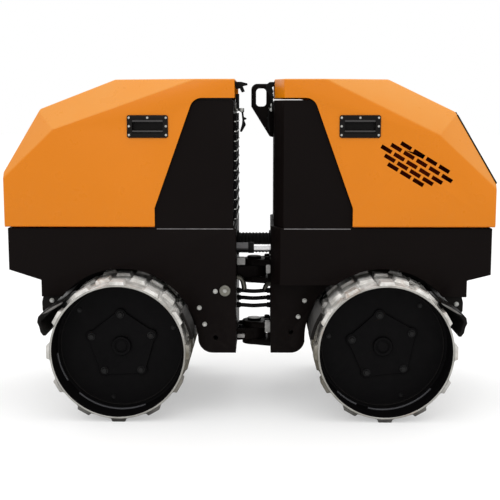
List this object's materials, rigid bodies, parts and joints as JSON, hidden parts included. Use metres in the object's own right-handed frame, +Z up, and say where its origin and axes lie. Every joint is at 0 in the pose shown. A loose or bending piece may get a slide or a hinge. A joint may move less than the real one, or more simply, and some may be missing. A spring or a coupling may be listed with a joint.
{
  "type": "trench_roller",
  "caption": "Articulated padfoot trench roller with two orange hoods, split lugged drums on central legs, scrapers, a steering cylinder at the vertical pivot and a lift eye",
  "frame": {"origin": "on the ground under the middle of the length and width, 16 mm behind the steering pivot", "axes": "+X towards the front module, +Y to its left, +Z up"},
  "size_m": [1.8322, 0.85, 1.256],
  "materials": {
    "hood_paint": "satin orange paint",
    "frame_paint": "satin black paint",
    "drum_steel": "worn bare steel with light rust",
    "bright_metal": "zinc plated",
    "rubber": "matt black rubber",
    "dark_metal": "black painted casting",
    "handle_plastic": "matt black moulding",
    "chrome_rod": "hard chrome"
  },
  "bodies": {
    "rear_module": {"rear_frame": "frame_paint", "rear_deck": "frame_paint", "rear_bulkhead": "frame_paint", "rear_hinge_lugs": "frame_paint", "rear_latch": "rubber", "rear_carrier": "dark_metal", "rear_outer_scraper": "frame_paint", "rear_inner_scraper": "frame_paint", "rear_guard": "bright_metal", "rear_radiator": "dark_metal", "rear_pin_heads": "bright_metal", "rear_yoke": "frame_paint", "rear_cylinder_bracket": "frame_paint", "rear_fittings": "bright_metal", "hoses": "rubber", "harness_sleeve": "rubber"},
    "front_module": {"front_frame": "frame_paint", "front_deck": "frame_paint", "front_bulkhead": "frame_paint", "front_hinge_lugs": "frame_paint", "front_latch": "rubber", "front_carrier": "dark_metal", "front_outer_scraper": "frame_paint", "front_inner_scraper": "frame_paint", "front_engine": "dark_metal", "front_lift_eye": "frame_paint", "front_yoke": "frame_paint", "pivot_pins": "bright_metal", "front_cylinder_bracket": "frame_paint", "front_fittings": "bright_metal"},
    "rear_hood_body": {"rear_hood": "hood_paint", "rear_handles": "handle_plastic", "rear_hood_arms": "frame_paint"},
    "front_hood_body": {"front_hood": "hood_paint", "front_handles": "handle_plastic", "front_hood_arms": "frame_paint", "front_vent_panel": "frame_paint"},
    "rear_drum": {"rear_drum_left": "drum_steel", "rear_drum_right": "drum_steel", "rear_hubs": "dark_metal", "rear_axle": "dark_metal"},
    "front_drum": {"front_drum_left": "drum_steel", "front_drum_right": "drum_steel", "front_hubs": "dark_metal", "front_axle": "dark_metal"},
    "cylinder_barrel": {"steering_barrel": "frame_paint"},
    "cylinder_rod": {"steering_rod": "chrome_rod"}
  },
  "joints": [
    {"name": "articulation", "type": "hinge", "parent": "rear_module", "child": "front_module", "pos_m": [0.016, 0, 0.4], "axis": [0, 0, 1], "range_deg": [-30, 30], "deforming": ["hoses", "harness_sleeve"]},
    {"name": "rear_hood_hinge", "type": "hinge", "parent": "rear_module", "child": "rear_hood_body", "pos_m": [-0.878, 0, 0.69], "axis": [0, -1, 0], "range_deg": [0, 60]},
    {"name": "front_hood_hinge", "type": "hinge", "parent": "front_module", "child": "front_hood_body", "pos_m": [0.878, 0, 0.69], "axis": [0, 1, 0], "range_deg": [0, 60]},
    {"name": "rear_drum_spin", "type": "hinge", "parent": "rear_module", "child": "rear_drum", "pos_m": [-0.482, 0, 0.263], "axis": [0, 1, 0], "continuous": true},
    {"name": "front_drum_spin", "type": "hinge", "parent": "front_module", "child": "front_drum", "pos_m": [0.502, 0, 0.263], "axis": [0, 1, 0], "continuous": true},
    {"name": "cylinder_swing", "type": "hinge", "parent": "rear_module", "child": "cylinder_barrel", "pos_m": [-0.174, -0.11, 0.609], "axis": [0, 0, 1], "range_deg": [-12.6, 12.6]},
    {"name": "cylinder_stroke", "type": "slide", "parent": "cylinder_barrel", "child": "cylinder_rod", "axis": [1, 0, 0], "range_m": [-0.058, 0.058]}
  ],
  "couplings": [
    {"joint": "cylinder_swing", "follows": "articulation", "ratio": 0.4},
    {"joint": "cylinder_stroke", "follows": "articulation", "m_per_rad": 0.1086}
  ]
}
